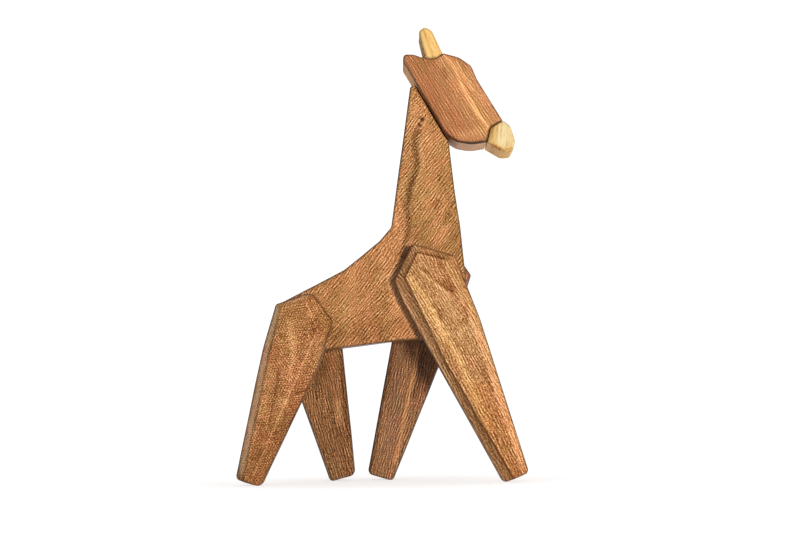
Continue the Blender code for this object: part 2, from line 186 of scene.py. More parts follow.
def rounded(corners):
    """The closed outline of (x, z, radius) corners, an arc at each, counter-clockwise."""
    points, count = [], len(corners)
    for i, (x, z, radius) in enumerate(corners):
        here = np.array((x, z))
        before = unit(np.array(corners[i - 1][:2]) - here)
        after = unit(np.array(corners[(i + 1) % count][:2]) - here)
        turn = math.pi - math.acos(max(-1.0, min(1.0, float(before @ after))))
        if turn < 1e-3:
            points.append(here)
            continue
        reach = radius * math.tan(turn / 2)
        start, end = here + before * reach, here + after * reach
        middle = here + unit(before + after) * (radius / math.cos(turn / 2))
        pieces = max(3, math.ceil(turn / ARC_STEP))
        for k in range(pieces + 1):
            share = k / pieces
            arm = (
                (start - middle) * math.sin((1 - share) * turn)
                + (end - middle) * math.sin(share * turn)
            ) / math.sin(turn)
            points.append(middle + arm)
    ring = np.array(points)
    x, z = ring[:, 0], ring[:, 1]
    area = np.sum(x * np.roll(z, -1) - np.roll(x, -1) * z)
    return ring if area > 0 else ring[::-1].copy()


def resampled(ring):
    """The same outline with no side longer than MESH_STEP."""
    points = []
    for start, end in zip(ring, np.roll(ring, -1, axis=0)):
        pieces = max(1, math.ceil(np.linalg.norm(end - start) / MESH_STEP))
        points += [start + (end - start) * k / pieces for k in range(pieces)]
    keep = [points[0]]
    for point in points[1:]:
        if np.linalg.norm(point - keep[-1]) > SHORTEST_SIDE:
            keep.append(point)
    if np.linalg.norm(keep[-1] - keep[0]) < SHORTEST_SIDE:
        keep.pop()
    return np.array(keep)


def signed(points, ring, batch_size=2048):
    """Distance from each point to the outline, negative inside."""
    edges = np.roll(ring, -1, axis=0) - ring
    squares = np.maximum((edges ** 2).sum(1), 1e-18)
    start_z, end_z = ring[:, 1], ring[:, 1] + edges[:, 1]
    slope = edges[:, 0] / np.where(np.abs(edges[:, 1]) < 1e-12, 1e-12, edges[:, 1])
    distances = np.empty(len(points))
    for first in range(0, len(points), batch_size):
        batch = points[first:first + batch_size]
        away = batch[:, None, :] - ring[None]
        share = np.clip((away * edges).sum(2) / squares, 0, 1)
        near = np.sqrt(((away - edges * share[..., None]) ** 2).sum(2).min(1))
        z = batch[:, 1:2]
        crosses = ((start_z <= z) & (end_z > z)) | ((end_z <= z) & (start_z > z))
        ahead = batch[:, 0:1] < ring[:, 0] + (z - start_z) * slope
        inside = (crosses & ahead).sum(1) % 2 == 1
        distances[first:first + batch_size] = np.where(inside, -near, near)
    return distances


def segment_distance(points, start, end):
    start, end = np.array(start, float), np.array(end, float)
    along = end - start
    share = np.clip(((points - start) @ along) / max(along @ along, 1e-12), 0, 1)
    return np.linalg.norm(points - (start + share[:, None] * along), axis=1)


def ripple(points, seed, wavelength, waves=7):
    """A smooth, seeded, zero-mean field of about unit size over 2-D or 3-D points."""
    rng = np.random.default_rng(seed)
    total = np.zeros(len(points))
    for _ in range(waves):
        direction = rng.normal(size=points.shape[1])
        direction /= np.linalg.norm(direction)
        rate = 2 * math.pi / (wavelength * rng.uniform(0.7, 1.6))
        total += np.sin(points @ direction * rate + rng.uniform(0, 2 * math.pi))
    return total / math.sqrt(waves)


# ---------------------------------------------------------------- faces, as height functions
def flat_face(half, seed):
    """A nearly flat face this far off the middle plane."""
    return lambda points: half + 0.05 * ripple(points, seed, wavelength=30.0)


def planed(half, facets, seed, softness=0.07, wobble=0.12):
    """A face planed down by facets from their ridges, which blend over softness."""
    def height(points):
        heights = [half + 0.035 * ripple(points, seed, wavelength=19.0)]
        for i, (start, end, slope) in enumerate(facets):
            start, _, side = straight(start, end)
            past = (points - start) @ side
            past = past + wobble * ripple(points, seed * 31 + i, wavelength=26.0)
            heights.append(half - past * math.tan(math.radians(slope)))
        stack = np.array(heights)
        low = stack.min(0)
        return low - softness * np.log(np.exp((low - stack) / softness).sum(0))
    return height


def rim(corners):
    """Even facets along a leg's edges, all but the sole's; corners run clockwise."""
    ring = [np.array(corner[:2]) for corner in corners][::-1]
    lowest = min(point[1] for point in ring)
    facets = []
    for start, end in zip(ring, ring[1:] + ring[:1]):
        if start[1] == end[1] == lowest:
            continue
        start, end, side = straight(start, end)
        inset = side * INNER_FACET_WIDTH
        facets.append((start - inset, end - inset, INNER_FACET_SLOPE))
    return facets


# ---------------------------------------------------------------- boards
EASE_DEGREES = (24, 42, 58, 74, 90)             # where mesh lines follow a rounded edge
EASE_MARGIN = 0.55                              # of one more line inside it
RIDGE_OFFSETS = (0.0, -0.3, 0.3, -0.75, 0.75)   # mesh lines beside a ridge
RIDGE_STEP, RIDGE_CLEARANCE = 1.0, 1.2
CROWD_CELL, CROWD_SQUARE = 0.3, 0.028           # search cell, least squared spacing
FAR_COARSENESS = 1.5
DRIFT, DRIFT_WAVELENGTH = (0.05, 0.012, 0.05), 24.0


def inset_bands(ring, line, ease):
    """Copies of the outline moved inwards across the rounded edge."""
    step = np.roll(line, -1, axis=0) - np.roll(line, 1, axis=0)
    outward = np.stack([step[:, 1], -step[:, 0]], 1)
    outward /= np.linalg.norm(outward, axis=1)[:, None]
    insets = [ease * (1 - math.cos(math.radians(turn))) for turn in EASE_DEGREES]
    bands = []
    for inset in (*insets, ease + EASE_MARGIN):
        points = line - outward * inset
        distance = signed(points, ring)
        bands.append(points[np.abs(distance + inset) < 0.05 + 0.02 * inset])
    return bands


def uncrowded(points, count):
    """The points without those that crowd an earlier one; the first count all stay."""
    cells, keep = {}, []
    for i, (x, z) in enumerate(points):
        column, row = int(x / CROWD_CELL), int(z / CROWD_CELL)
        near_by = [
            j for dx in (-1, 0, 1) for dz in (-1, 0, 1)
            for j in cells.get((column + dx, row + dz), ())
        ]
        if i >= count and any(
            (x - points[j][0]) ** 2 + (z - points[j][1]) ** 2 < CROWD_SQUARE for j in near_by
        ):
            continue
        cells.setdefault((column, row), []).append(i)
        keep.append(i)
    return points[keep]


def face_points(ring, line, bands, ease, spacing, ridges=()):
    """The outline's points, then those of the bands, the ridges and a filling grid."""
    groups = [line, *bands]
    for ridge in ridges:
        start, end, side = straight(*ridge[:2])
        pieces = max(2, math.ceil(np.linalg.norm(end - start) / RIDGE_STEP))
        for offset in RIDGE_OFFSETS:
            points = np.array([
                start + (end - start) * k / pieces + side * offset for k in range(pieces + 1)
            ])
            groups.append(points[signed(points, ring) < -(ease + 0.15)])
    low, high = ring.min(0), ring.max(0)
    columns = np.arange(low[0], high[0], spacing)
    rows = np.arange(low[1], high[1], spacing * 0.866)
    grid = np.array([
        (x + (spacing / 2 if j % 2 else 0), z) for j, z in enumerate(rows) for x in columns
    ])
    grid = grid[signed(grid, ring) < -(ease + EASE_MARGIN + spacing * 0.55)]
    for start, end, _ in ridges:
        grid = grid[segment_distance(grid, start, end) > RIDGE_CLEARANCE]
    return uncrowded(np.concatenate([*groups, grid]), len(line))


def triangles(name, points, count):
    """A triangulation that keeps the outline, the first count points, as edges."""
    edges = [(i, (i + 1) % count) for i in range(count)]
    verts, _, faces, origin, *_ = geometry.delaunay_2d_cdt(
        [Vector(point) for point in points], edges, [], 1, 1e-7
    )
    assert len(verts) == len(points), f"{name}: {len(points)} points became {len(verts)}"
    source = [indices[0] for indices in origin]
    return [[source[i] for i in face] for face in faces]


def eased_heights(points, ring, count, ease, height):
    """Heights with the long edges rounded, and how close each point is to an edge."""
    distance = signed(points, ring)
    distance[:count] = 0.0
    inner = np.clip(distance + ease, 0, ease)
    drop = ease - np.sqrt(np.maximum(ease ** 2 - inner ** 2, 0))
    edge = np.clip((distance + 1.15) / 0.85, 0, 1) ** 1.3
    return height(points) - drop, edge


def add_attribute(mesh, name, values):
    attribute = mesh.attributes.new(name, "FLOAT", "POINT")
    attribute.data.foreach_set("value", np.array(values, np.float32))


def name_seed(name):
    return sum((i + 1) * ord(letter) for i, letter in enumerate(name)) % 9973


def board_mesh(name, ring, near, far, ease, lie, levels, ridges=()):
    """A closed board, its long edges rounded by ease.

    near and far give the height of each face off the middle plane, near being towards
    -depth. lie turns (x, depth, z) into metres in the scene, and levels is the number of
    steps through the sawn sides. Point attributes kept for the finish: edge (1 on the
    rounded edges), wall (1 on the sawn sides).
    """
    line = resampled(ring)
    count = len(line)
    bands = inset_bands(ring, line, ease)
    near_points = face_points(ring, line, bands, ease, MESH_STEP, ridges)
    far_points = face_points(ring, line, bands, ease, MESH_STEP * FAR_COARSENESS)
    near_y, near_edge = eased_heights(near_points, ring, count, ease, near)
    far_y, far_edge = eased_heights(far_points, ring, count, ease, far)
    flat = [*near_points, *far_points]
    depth = [*(-near_y), *far_y]
    edge = [*near_edge, *far_edge]
    wall = [0.0] * len(flat)
    offset = len(near_points)
    faces = [tuple(face) for face in triangles(name, near_points, count)]
    faces += [
        tuple(i + offset for i in face[::-1]) for face in triangles(name, far_points, count)
    ]

    rows = [list(range(count))]
    for k in range(1, levels):
        rows.append(list(range(len(flat), len(flat) + count)))
        # the first and last rows of the wall lie close to the rounded edges
        share = 0.5 - 0.5 * math.cos(math.pi * (k / levels))
        for i in range(count):
            flat.append(line[i])
            depth.append(-near_y[i] * (1 - share) + far_y[i] * share)
            edge.append(0.2 + 0.7 * max(0.0, 1 - min(share, 1 - share) * 12))
            wall.append(1.0)
    rows.append(list(range(offset, offset + count)))
    for upper, lower in zip(rows, rows[1:]):
        for i in range(count):
            j = (i + 1) % count
            faces.append((upper[i], lower[i], lower[j], upper[j]))

    flat = np.array(flat)
    solid = np.column_stack([flat[:, 0], np.array(depth), flat[:, 1]])
    # hand-finished: the whole board wanders by a few hundredths of a millimetre
    drift = np.column_stack([
        ripple(solid, name_seed(name) + k, DRIFT_WAVELENGTH) for k in range(3)
    ])
    solid += drift * np.array(DRIFT)
    mesh = bpy.data.meshes.new(name)
    mesh.from_pydata([lie(point) for point in solid], [], faces)
    mesh.validate()
    add_attribute(mesh, "edge", edge)
    add_attribute(mesh, "wall", wall)
    bm = bmesh.new()
    bm.from_mesh(mesh)
    bmesh.ops.recalc_face_normals(bm, faces=bm.faces)
    open_edges = [e for e in bm.edges if not e.is_manifold]
    assert not open_edges, f"{name} has {len(open_edges)} open or shared edges"
    bm.to_mesh(mesh)
    bm.free()
    return mesh


def upright(point):
    """Drawing (x, y, z) in mm to the scene."""
    return ((point[0] + DATUM_X) * MM, point[1] * MM, point[2] * MM)


def spot(point, y=0):
    """A drawing point (x, z), or a direction, in three dimensions."""
    return (point[0], y, point[1])


def reverse(way):
    return tuple(-part for part in way)


# ---------------------------------------------------------------- bored and painted pieces
# stroke layers: mostly wood figure; some strokes paint shade, highlights and reflections
STROKE_LAYERS = ("dark", "light", "gold", "grey", "shadow_line", "cream")


def bores(target, mouths):
    """Cuts blind round holes: (mouth, way out, (radius, depth)), mouths in drawing mm."""
    bm = bmesh.new()
    for mouth, way, (radius, depth) in mouths:
        turn = Vector(way).normalized().to_track_quat("Z", "Y").to_matrix().to_4x4()
        sink = Matrix.Translation((0, 0, (BORE_OVERRUN - depth) / 2 * MM))
        bmesh.ops.create_cone(
            bm, cap_ends=True, segments=BORE_SEGMENTS, radius1=radius * MM,
            radius2=radius * MM, depth=(depth + BORE_OVERRUN) * MM,
            matrix=Matrix.Translation(Vector(upright(mouth))) @ turn @ sink,
        )
    cutter_mesh = bpy.data.meshes.new(target.name + "_bores")
    bm.to_mesh(cutter_mesh)
    bm.free()
    cutter = bpy.data.objects.new(target.name + "_bores", cutter_mesh)
    bpy.context.scene.collection.objects.link(cutter)
    modifier = target.modifiers.new("bores", "BOOLEAN")
    modifier.operation = "DIFFERENCE"
    modifier.solver = "EXACT"
    modifier.object = cutter
    bpy.context.view_layer.update()
    graph = bpy.context.evaluated_depsgraph_get()
    cut = bpy.data.meshes.new_from_object(
        target.evaluated_get(graph), preserve_all_data_layers=True, depsgraph=graph
    )
    target.modifiers.clear()
    old = target.data
    target.data = cut
    cut.name = old.name
    bpy.data.meshes.remove(old)
    bpy.data.objects.remove(cutter)
    bpy.data.meshes.remove(cutter_mesh)


def paint(mesh, to_drawing, figure):
    """Soft strokes as point attributes: wood figure, and also painted shade, highlights and
    reflections.

    figure: layer = [(polyline in drawing mm, half width, strength)]. to_drawing takes
    scene points in mm back to the drawing.
    """
    points = np.empty(len(mesh.vertices) * 3, np.float32)
    mesh.vertices.foreach_get("co", points)
    flat = to_drawing(points.reshape(-1, 3).astype(float) / MM)
    for name in STROKE_LAYERS:
        total = np.zeros(len(flat))
        for line, width, strength in figure.get(name, ()):
            parts = [segment_distance(flat, start, end) for start, end in zip(line, line[1:])]
            near = np.min(parts, axis=0)
            total = total + strength * np.exp(-((near / width) ** 2))
        add_attribute(mesh, name, total)


def side_view(points):
    return np.column_stack([points[:, 0] - DATUM_X, points[:, 2]])


def make_piece(name, mesh, body, node, finish, mouths, figure,
               to_drawing=side_view, sharp_angle=38.0):
    """One wooden piece: placed, bored, painted and smoothed."""
    made = bpy.data.objects.new(name, mesh)
    bpy.context.scene.collection.objects.link(made)
    mesh.materials.append(finish)
    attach(made, body)
    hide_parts(node)
    bores(made, mouths)
    paint(made.data, to_drawing, figure)
    made.data.shade_smooth()
    made.data.set_sharp_from_angle(angle=math.radians(sharp_angle))


# ---------------------------------------------------------------- node helpers
STROKE_TONE = 0.42      # tone added by a light stroke and taken off by a dark one
COAT_ROUGHNESS = 0.25


def linear(*rgb):
    """sRGB 0-255 to linear."""
    shares = (value / 255 for value in rgb)
    return tuple(s / 12.92 if s <= 0.04045 else ((s + 0.055) / 1.055) ** 2.4 for s in shares)


class Finish:
    """A material's node tree, built up by small calls that return sockets."""

    def __init__(self, name):
        self.material = bpy.data.materials.new(name)
        self.material.use_nodes = True
        self.tree = self.material.node_tree
        self.shader = self.tree.nodes["Principled BSDF"]

    def node(self, kind, **settings):
        made = self.tree.nodes.new(kind)
        for key, value in settings.items():
            setattr(made, key, value)
        return made

    def feed(self, socket, value):
        if isinstance(value, bpy.types.NodeSocket):
            self.tree.links.new(value, socket)
        elif hasattr(value, "__len__") and socket.type == "RGBA" and len(value) == 3:
            socket.default_value = (*value, 1.0)
        else:
            socket.default_value = value

    def math(self, operation, first, second=0.0, clamp=False):
        made = self.node("ShaderNodeMath", operation=operation, use_clamp=clamp)
        self.feed(made.inputs[0], first)
        self.feed(made.inputs[1], second)
        return made.outputs[0]

    def plus(self, first, second):
        return self.math("ADD", first, second)

    def minus(self, first, second):
        return self.math("SUBTRACT", first, second)

    def times(self, first, second, clamp=False):
        return self.math("MULTIPLY", first, second, clamp)

    def swing(self, value, size):
        """A 0 to 1 value turned into a swing of this size about zero."""
        return self.times(self.minus(value, 0.5), size)

    def vector(self, operation, first, second=None):
        made = self.node("ShaderNodeVectorMath", operation=operation)
        self.feed(made.inputs[0], first)
        if second is not None:
            self.feed(made.inputs[1], second)
        return made.outputs["Value" if operation in ("DOT_PRODUCT", "LENGTH") else "Vector"]

    def moved(self, vector, offset):
        return self.vector("ADD", vector, offset)

    def scaled(self, vector, scale):
        made = self.node("ShaderNodeVectorMath", operation="SCALE")
        self.feed(made.inputs[0], vector)
        self.feed(made.inputs["Scale"], scale)
        return made.outputs["Vector"]

    def place(self):
        return self.node("ShaderNodeTexCoord").outputs["Object"]

    def place_mm(self):
        return self.scaled(self.place(), 1 / MM)

    def swayed(self, vector, source, scale, reach):
        """The vector pushed about by slow noise over source."""
        sway = self.noise(self.scaled(source, scale), detail=1.0, colour=True)
        push = self.scaled(self.vector("SUBTRACT", sway, (0.5, 0.5, 0.5)), reach)
        return self.moved(vector, push)

    def grain(self, vector, axes):
        """A function that gives grain coordinates, scaled along and across the fibres."""
        parts = [self.vector("DOT_PRODUCT", vector, tuple(axis)) for axis in axes]

        def coordinates(along, across):
            made = self.node("ShaderNodeCombineXYZ")
            for socket, part, scale in zip(made.inputs, parts, (along, across, across)):
                self.feed(socket, self.times(part, scale))
            return made.outputs[0]
        return coordinates

    def noise(self, vector, detail=2.0, roughness=0.5, colour=False):
        made = self.node("ShaderNodeTexNoise")
        self.feed(made.inputs["Vector"], vector)
        made.inputs["Scale"].default_value = 1.0
        made.inputs["Detail"].default_value = detail
        made.inputs["Roughness"].default_value = roughness
        return made.outputs["Color" if colour else "Fac"]

    def cells(self, vector):
        """Distance to the middle of the nearest cell."""
        made = self.node("ShaderNodeTexVoronoi", feature="F1")
        self.feed(made.inputs["Vector"], vector)
        made.inputs["Scale"].default_value = 1.0
        return made.outputs["Distance"]

    def span(self, value, low, high, to_low=0.0, to_high=1.0):
        made = self.node("ShaderNodeMapRange", interpolation_type="SMOOTHSTEP")
        for socket, part in zip(made.inputs[:5], (value, low, high, to_low, to_high)):
            self.feed(socket, part)
        return made.outputs[0]

    def ramp(self, value, stops):
        made = self.node("ShaderNodeValToRGB")
        self.feed(made.inputs[0], value)
        elements = made.color_ramp.elements
        while len(elements) < len(stops):
            elements.new(0.5)
        for element, (position, colour) in zip(elements, stops):
            element.position = position
            element.color = (*colour, 1.0)
        return made.outputs[0]

    def mix(self, share, first, second, blend="MIX"):
        made = self.node("ShaderNodeMix", data_type="RGBA", blend_type=blend)
        self.feed(made.inputs[0], share)
        self.feed(made.inputs[6], first)
        self.feed(made.inputs[7], second)
        return made.outputs[2]

    def tinted(self, colour, tint):
        return self.mix(1.0, colour, tint, "MULTIPLY")

    def stained(self, colour, share, tint):
        return self.mix(share, colour, self.tinted(colour, tint))

    def attribute(self, name):
        return self.node("ShaderNodeAttribute", attribute_name=name).outputs["Fac"]

    def tone(self, *parts):
        """The sum of (source, size) swings about a half, with the painted strokes."""
        tone = 0.5
        for source, size in parts:
            tone = self.plus(tone, self.swing(source, size))
        tone = self.plus(tone, self.times(self.attribute("light"), STROKE_TONE))
        return self.minus(tone, self.times(self.attribute("dark"), STROKE_TONE))

    def oiled(self, weight, wall_loss, ior):
        """A thin coat, weaker on the sawn sides."""
        coat = self.minus(weight, self.times(self.attribute("wall"), wall_loss))
        self.feed(self.shader.inputs["Coat Weight"], coat)
        self.shader.inputs["Coat IOR"].default_value = ior
        self.shader.inputs["Coat Roughness"].default_value = COAT_ROUGHNESS

    def done(self, colour, roughness, height, bump=0.6, specular=0.35):
        self.feed(self.shader.inputs["Base Color"], colour)
        self.feed(self.shader.inputs["Roughness"], roughness)
        self.feed(self.shader.inputs["Specular IOR Level"], specular)
        made = self.node("ShaderNodeBump")
        made.inputs["Strength"].default_value = bump
        made.inputs["Distance"].default_value = MM
        self.feed(made.inputs["Height"], height)
        self.feed(self.shader.inputs["Normal"], made.outputs[0])
        return self.material


def grain_axes(angle, lean=0.0):
    """Unit vectors along the grain, across it in the face, and through the board.

    angle is the grain's direction in the side view, from +X towards +Z. lean tips it
    out of the face, so that pores are cut short.
    """
    turn, tip = math.radians(angle), math.radians(lean)
    along = Vector((math.cos(turn) * math.cos(tip), math.sin(tip), math.sin(turn) * math.cos(tip)))
    across = Vector((-math.sin(turn), 0.0, math.cos(turn)))
    return along, across, along.cross(across).normalized()


def ramp_stops(shades, light):
    """Ramp stops from five sRGB colours, darkest to lightest, divided by the light they are seen in.

    Two more stops carry the ramp on past its ends, for the finest pores and fibres.
    """
    colours = [np.array(linear(*rgb)) / np.array(light) for rgb in shades]
    deep = colours[0] * (colours[0] / colours[1]) ** 1.5
    pale = colours[4] * (colours[4] / colours[3]) ** 1.5
    places = [0.5 + 0.19 * k for k in (-3.2, -1.75, -0.84, 0.0, 0.84, 1.75, 3.2)]
    return [
        (place, tuple(float(min(0.93, part)) for part in rgb))
        for place, rgb in zip(places, (deep, *colours, pale))
    ]


# ---------------------------------------------------------------- walnut
# multipliers on linear RGB; CREAM paints a reflection on the undersides, and the last one paints
# shade on the rounded edges
WARM, OLIVE = (1.14, 0.96, 0.98), (0.88, 1.0, 0.86)
GOLD, GREY = (1.10, 1.06, 0.80), (0.80, 0.93, 1.10)
CREAM, EDGE_SHADE_TINT = (4.8, 5.8, 4.0), (0.24, 0.20, 0.18)

BROAD = 0.5             # strength of the growth bands
HUE = 0.5               # strength of the drift between warm and olive
# strength of the painted shade on the rounded edges
EDGE_SHADE_STRENGTH = 0.8
PORE_WIDTH = 0.95       # mm
LINE_PITCH = 1.13       # mm between fibre lines
# layers of fibre lines as (turn in degrees, closeness), along the face and seen end-on
FACE_LINES = ((0.0, 1.0), (0.0, 0.77))
END_LINES = ((0.0, 1.0), (60.0, 1.0), (120.0, 1.0))
END_GRAIN_LEAN = 20     # degrees


def knotted(wood, knots, place, shifted, warped):
    """Parts the fibres round each knot; returns them and the knots' dark spots."""
    spots = 0.0
    for x, z, radius, strength in knots:
        away = wood.vector("SUBTRACT", place, (x, 0.0, z))
        away = wood.vector("MULTIPLY", away, (1.0, 0.0, 1.0))
        reach = wood.vector("LENGTH", away)
        fade = wood.math("POWER", 2.718, wood.times(reach, -1.0 / (radius * 1.6)))
        push = wood.times(fade, -0.35 * strength)
        warped = wood.moved(warped, wood.scaled(away, push))
        blot = wood.noise(wood.scaled(shifted, 0.9 / radius))
        ragged = wood.plus(reach, wood.swing(blot, radius * 1.4))
        spot_share = wood.span(ragged, low=radius * 1.05, high=radius * 0.25)
        spots = wood.math("MAXIMUM", spots, wood.times(spot_share, strength))
    return warped, spots


def fibre_lines(wood, warped, fibre, angle, lean, dash):
    """Close, straight, broken lines, seen end-on as dots."""
    lines = 0.5
    layers = FACE_LINES if lean < END_GRAIN_LEAN else END_LINES
    for k, (turn, closeness) in enumerate(layers):
        side, depth = (
            wood.vector("DOT_PRODUCT", warped, tuple(axis))
            for axis in grain_axes(angle + turn)[1:]
        )
        run = wood.plus(side, wood.times(depth, wood.attribute("wall")))
        phase = wood.times(run, 2 * math.pi * closeness / LINE_PITCH)
        breaks = wood.node("ShaderNodeSeparateColor")
        source = wood.moved(fibre(along=dash, across=0.26), (5.3 * k, 3.1 * k, 2.7 * k))
        wood.feed(breaks.inputs[0], wood.noise(source, detail=0.0, colour=True))
        for way, channel in (("SINE", 0), ("COSINE", 1)):
            swell = wood.swing(breaks.outputs[channel], 4.0 / len(layers) ** 0.5)
            lines = wood.plus(lines, wood.times(wood.math(way, phase), swell))
    return lines


def walnut(name, angle, shades, light, seed, figure=None, lean=0.0, mid=0.32, fine=0.34,
           grit=1.45, dash=0.22, pores=1.0, warp=1.6, length=8.0, knots=()):
    """Oiled open-pored walnut.

    shades are five sRGB colours, darkest to lightest, seen in this light. angle is the
    fibres' direction in the side view and figure the growth bands'. mid, fine and grit are
    the strengths of streaks, fibre lines and specks, dash the rate at which the lines
    break, warp the fibres' wandering and length that of a pore. knots are
    (x, z, radius, strength) in scene mm.
    """
    wood = Finish(name)
    stops = ramp_stops(shades, light)
    dark, palest = stops[1][1], stops[6][1]
    place = wood.place_mm()
    shifted = wood.moved(place, (37.0 * seed, 11.0 * seed, -23.0 * seed))
    warped = wood.swayed(shifted, shifted, scale=0.022, reach=warp * 4)
    warped = wood.swayed(warped, shifted, scale=0.10, reach=warp * 0.08 * 4)
    warped, spots = knotted(wood, knots, place, shifted, warped)

    fibre = wood.grain(warped, grain_axes(angle, lean))
    ring = fibre if figure is None else wood.grain(warped, grain_axes(figure, lean * 0.4))
    bands = wood.noise(ring(along=0.008, across=0.075))
    streaks = wood.noise(fibre(along=0.012, across=0.26), detail=1.5)
    lines = fibre_lines(wood, warped, fibre, angle, lean, dash)
    specks = wood.noise(wood.scaled(shifted, 2.1), detail=0.0)
    tone = wood.tone((bands, BROAD), (streaks, mid), (lines, fine), (specks, grit))
    colour = wood.ramp(tone, stops)

    # slow drift between redder and more olive wood
    drift = wood.noise(wood.moved(ring(along=0.007, across=0.06), (9.0, 4.0, 2.0)), detail=1.5)
    flame = wood.noise(wood.moved(fibre(along=0.09, across=0.38), (2.0, 14.0, 7.0)), detail=1.0)
    drift = wood.plus(wood.times(drift, 0.55), wood.times(flame, 0.45))
    warm, olive = wood.tinted(colour, WARM), wood.tinted(colour, OLIVE)
    hues = wood.mix(wood.span(drift, low=0.4, high=0.6), warm, olive)
    colour = wood.mix(HUE, colour, hues)
    colour = wood.stained(colour, wood.attribute("gold"), GOLD)
    colour = wood.stained(colour, wood.attribute("grey"), GREY)
    # painted reflection: the sawn sides under cream strokes are made paler and creamier
    underside_sheen = wood.times(wood.attribute("cream"), wood.attribute("wall"), clamp=True)
    colour = wood.stained(colour, underside_sheen, CREAM)

    # pores: long dark dashes, and paler dashes of fibre between them
    large = wood.cells(fibre(along=1 / length, across=1 / PORE_WIDTH))
    dashes = wood.span(large, low=0.35, high=0.22)
    small = fibre(along=1.35 / length, across=1.35 / PORE_WIDTH)
    small = wood.cells(wood.moved(small, (3.1, 7.7, 1.3)))
    small = wood.times(wood.span(small, low=0.34, high=0.2), 0.8)
    dashes = wood.math("MAXIMUM", dashes, small)
    patches = wood.noise(fibre(along=0.03, across=0.16), detail=1.0)
    patches = wood.span(patches, low=0.36, high=0.58, to_low=0.6, to_high=1.0)
    dashes = wood.times(wood.times(dashes, patches), pores, clamp=True)
    pale = fibre(along=1.15 / length, across=1.1 / PORE_WIDTH)
    pale = wood.span(wood.cells(wood.moved(pale, (8.2, 1.4, 5.3))), low=0.36, high=0.2)
    colour = wood.mix(wood.times(pale, 0.12), colour, palest)
    colour = wood.mix(wood.times(dashes, 0.3), colour, tuple(part * 0.38 for part in dark))
    if knots:
        share = wood.times(spots, 1.0, clamp=True)
        colour = wood.mix(share, colour, tuple(part * 0.35 for part in dark))

    # painted shade on the rounded edges, darker along the fibre lines
    edge_grain = wood.span(lines, low=0.0, high=1.0, to_low=0.8, to_high=1.0)
    edge_shade = wood.times(wood.attribute("edge"), edge_grain)
    colour = wood.stained(colour, wood.times(edge_shade, EDGE_SHADE_STRENGTH, clamp=True), EDGE_SHADE_TINT)
    # painted shadow: dark lines drawn on the faces, here along the jaw's lower edge
    face = wood.minus(1.0, wood.attribute("wall"))
    painted_shadow_share = wood.times(wood.attribute("shadow_line"), face, clamp=True)
    colour = wood.mix(painted_shadow_share, colour, tuple(part * 0.2 for part in dark))

    roughness = wood.plus(0.5, wood.times(dashes, 0.3))
    roughness = wood.plus(roughness, wood.swing(streaks, 0.25))
    height = wood.minus(wood.times(lines, 0.012), wood.times(dashes, 0.08))
    wood.oiled(weight=0.8, wall_loss=0.55, ior=1.22)
    return wood.done(colour, roughness, height, specular=0.08)


# ---------------------------------------------------------------- ash, nickel and beech
# multipliers on linear RGB; the last two paint light on the sawn sides and shade on the rounded
# edges
ASH_GOLD, ASH_SHADED, ASH_EDGE_SHADE = (0.93, 0.78, 0.52), (1.75, 1.48, 0.68), (0.62, 0.48, 0.30)


def ash(name, angle, shades, light, seed, edge):
    """Pale ash with fine golden growth lines; edge is the strength of the painted shade on rounded
    edges.
    """
    wood = Finish(name)
    stops = ramp_stops(shades, light)
    shifted = wood.moved(wood.place_mm(), (17.0 * seed, 29.0 * seed, 5.0 * seed))
    warped = wood.swayed(shifted, shifted, scale=0.05, reach=4.0)
    fibre = wood.grain(warped, grain_axes(angle))
    rings = wood.noise(fibre(along=0.02, across=0.62), roughness=0.55)
    lines = wood.noise(fibre(along=0.2, across=2.0), roughness=0.6)
    colour = wood.ramp(wood.tone((rings, 1.3), (lines, 0.8)), stops)
    colour = wood.stained(colour, wood.attribute("gold"), ASH_GOLD)
    pits = wood.span(wood.cells(fibre(along=0.25, across=1.5)), low=0.3, high=0.12)
    pit_colour = tuple(part * 0.6 for part in stops[1][1])
    colour = wood.mix(wood.times(pits, 0.4), colour, pit_colour)
    shaded = wood.times(wood.attribute("wall"), wood.attribute("gold"), clamp=True)
    colour = wood.stained(colour, shaded, ASH_SHADED)
    colour = wood.stained(colour, wood.times(wood.attribute("edge"), edge), ASH_EDGE_SHADE)
    roughness = wood.plus(0.42, wood.times(lines, 0.15))
    height = wood.minus(wood.times(lines, 0.03), wood.times(pits, 0.05))
    wood.oiled(weight=0.6, wall_loss=0.5, ior=1.28)
    return wood.done(colour, roughness, height, specular=0.12)


def nickel(name):
    metal = Finish(name)
    place = metal.place_mm()
    cloud = metal.noise(metal.scaled(place, 0.6), detail=3.0)
    scratch = metal.noise(metal.vector("MULTIPLY", place, (6.0, 0.4, 1.2)))
    colour = metal.ramp(cloud, ((0.3, (0.50, 0.50, 0.48)), (0.7, (0.68, 0.67, 0.64))))
    metal.shader.inputs["Metallic"].default_value = 1.0
    roughness = metal.plus(0.2, metal.times(scratch, 0.25))
    height = metal.times(scratch, 0.01)
    return metal.done(colour, roughness, height, bump=0.3, specular=0.5)


def beech(name, angle):
    wood = Finish(name)
    fibre = wood.grain(wood.place_mm(), grain_axes(angle))
    lines = wood.noise(fibre(along=0.2, across=2.5))
    flecks = wood.span(wood.cells(fibre(along=0.6, across=3.0)), low=0.25, high=0.1)
    colour = wood.ramp(lines, ((0.3, linear(186, 140, 96)), (0.7, linear(222, 186, 140))))
    colour = wood.mix(wood.times(flecks, 0.5), colour, linear(150, 100, 62))
    roughness = wood.plus(0.5, wood.times(lines, 0.2))
    return wood.done(colour, roughness, wood.times(lines, 0.03))


# ---------------------------------------------------------------- the finishes
NEAR_LIGHT = (3.0, 3.0, 3.1)
HORN_SHADES = ((203, 156, 90), (229, 181, 105), (241, 193, 120), (250, 207, 136), (253, 222, 165))


def dimmed(share):
    return tuple(part * share for part in NEAR_LIGHT)


